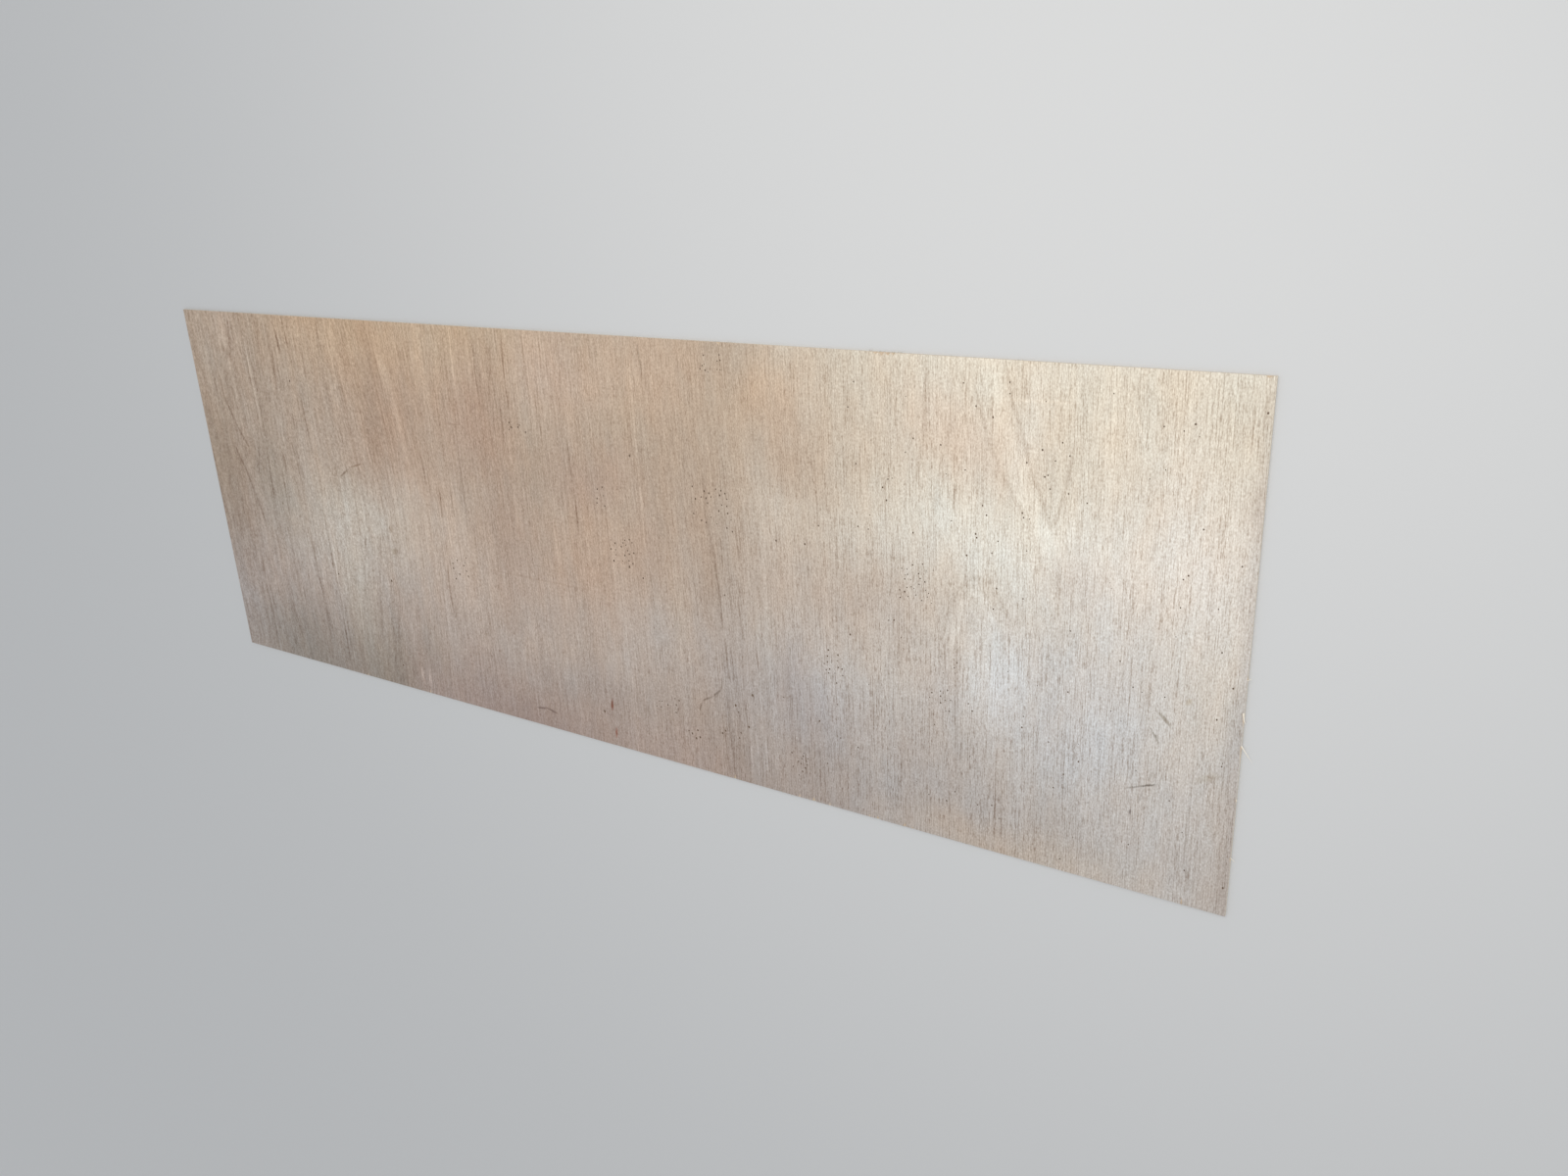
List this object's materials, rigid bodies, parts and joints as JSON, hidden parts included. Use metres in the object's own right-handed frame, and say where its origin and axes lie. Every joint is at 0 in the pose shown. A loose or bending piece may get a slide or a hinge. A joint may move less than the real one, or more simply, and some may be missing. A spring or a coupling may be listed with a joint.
{
  "type": "plywood sheet",
  "caption": "Thin flat rectangular plywood sheet with the face grain across its length, sawn edges, with fine chips and torn slivers.",
  "frame": {"origin": "middle of the back face, which the sheet lies on", "axes": "+X along the length, +Y across the sheet along the grain of the good face, +Z out of the good face"},
  "size_m": [2.44, 0.845, 0.005],
  "materials": {
    "plywood": "matte"
  },
  "bodies": {
    "root": {"plywood_sheet": "plywood"}
  },
  "joints": []
}
